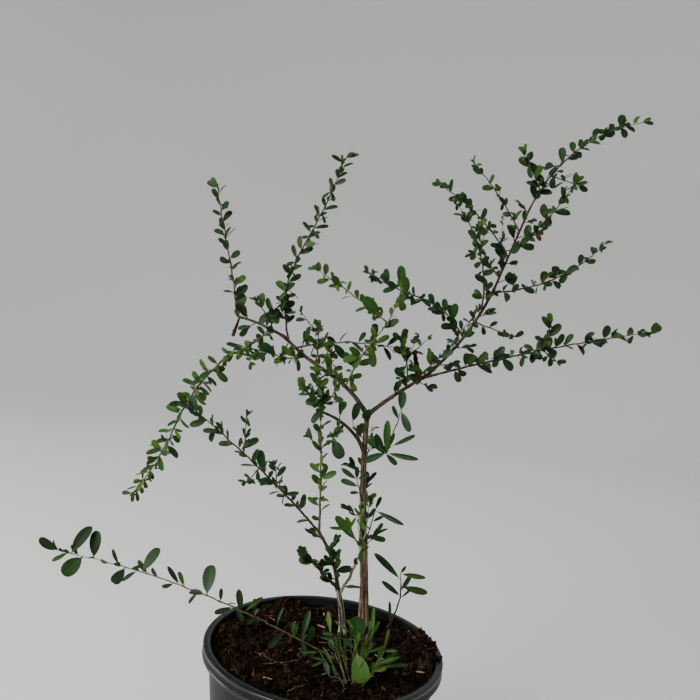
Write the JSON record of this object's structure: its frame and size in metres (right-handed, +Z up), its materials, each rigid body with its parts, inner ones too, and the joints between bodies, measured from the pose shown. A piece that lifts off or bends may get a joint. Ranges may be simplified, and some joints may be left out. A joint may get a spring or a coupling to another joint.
{
  "type": "potted firethorn shrub",
  "caption": "Young firethorn shrub with a slim forked trunk and long, sparse, leafy shoots that reach out to both sides, in a round tapered nursery pot.",
  "frame": {"origin": "the middle of the pot's flat underside, on the surface that the pot stands on", "axes": "+Z up; -Y towards the shrub's front, so +X is to the right when it is looked at from its front"},
  "size_m": [0.613, 0.3196, 0.8164],
  "materials": {
    "pot_plastic": "dark grey-black moulded plastic, semi-gloss on the rolled lip, dusty below",
    "potting_mix": "dark brown crumbly bark and coir mix with orange-brown fibres",
    "trunk_bark": "tan flaking bark with dark furrows",
    "young_bark": "smooth dark reddish-brown bark with pale lenticels",
    "dead_wood": "dry dark brown dead wood",
    "leaf_dark": "glossy mature dark green leaves on thin brown twigs",
    "leaf_fresh": "satin fresh mid-green leaves on green-brown twigs",
    "leaf_pale": "soft pale yellow-green young leaves on pale twigs"
  },
  "bodies": {
    "root": {"pot": "pot_plastic", "soil": "potting_mix", "trunk": "trunk_bark", "side_stem": "trunk_bark", "side_stem_bough": "young_bark", "low_bough": "young_bark", "left_bough": "young_bark", "left_bough_end": "young_bark", "right_bough": "young_bark", "right_bough_riser": "young_bark", "right_bough_top": "young_bark", "dead_snag_right": "dead_wood", "dead_snag_left": "dead_wood", "low_sweeping_shoot": "leaf_dark", "sucker_fan": "leaf_fresh", "soil_shoot": "leaf_dark", "side_stem_left_spray": "leaf_dark", "side_stem_right_spray": "leaf_fresh", "side_stem_tuft": "leaf_dark", "lower_left_shoot": "leaf_dark", "slender_upright": "leaf_fresh", "low_bough_cluster": "leaf_fresh", "low_bough_hanging_spray": "leaf_fresh", "upper_left_shoot": "leaf_dark", "tall_left_shoot": "leaf_dark", "left_cross_shoot": "leaf_dark", "left_bough_spur": "leaf_fresh", "drooping_shoot_arch": "leaf_fresh", "drooping_shoot": "leaf_fresh", "under_bough_spray": "leaf_fresh", "bough_end_spray": "leaf_dark", "pale_upright_shoot": "leaf_pale", "long_right_shoot": "leaf_dark", "right_riser_spray": "leaf_dark", "crossing_shoot": "leaf_dark", "outer_right_shoot": "leaf_dark", "inner_right_shoot": "leaf_dark", "short_pale_shoot": "leaf_pale", "upper_inner_shoot": "leaf_dark", "upper_outer_shoot": "leaf_dark", "upper_middle_shoot": "leaf_dark", "top_right_shoot": "leaf_dark", "trunk_rosette": "leaf_dark", "trunk_spray_upper": "leaf_dark", "trunk_spray_middle": "leaf_fresh", "trunk_spray_right": "leaf_dark", "fork_spray": "leaf_dark", "fork_spray_right": "leaf_dark", "back_left_shoot": "leaf_dark", "back_right_shoot": "leaf_dark", "back_low_shoot": "leaf_dark", "back_upper_shoot": "leaf_dark", "front_left_shoot": "leaf_dark", "front_right_shoot": "leaf_dark"}
  },
  "joints": []
}
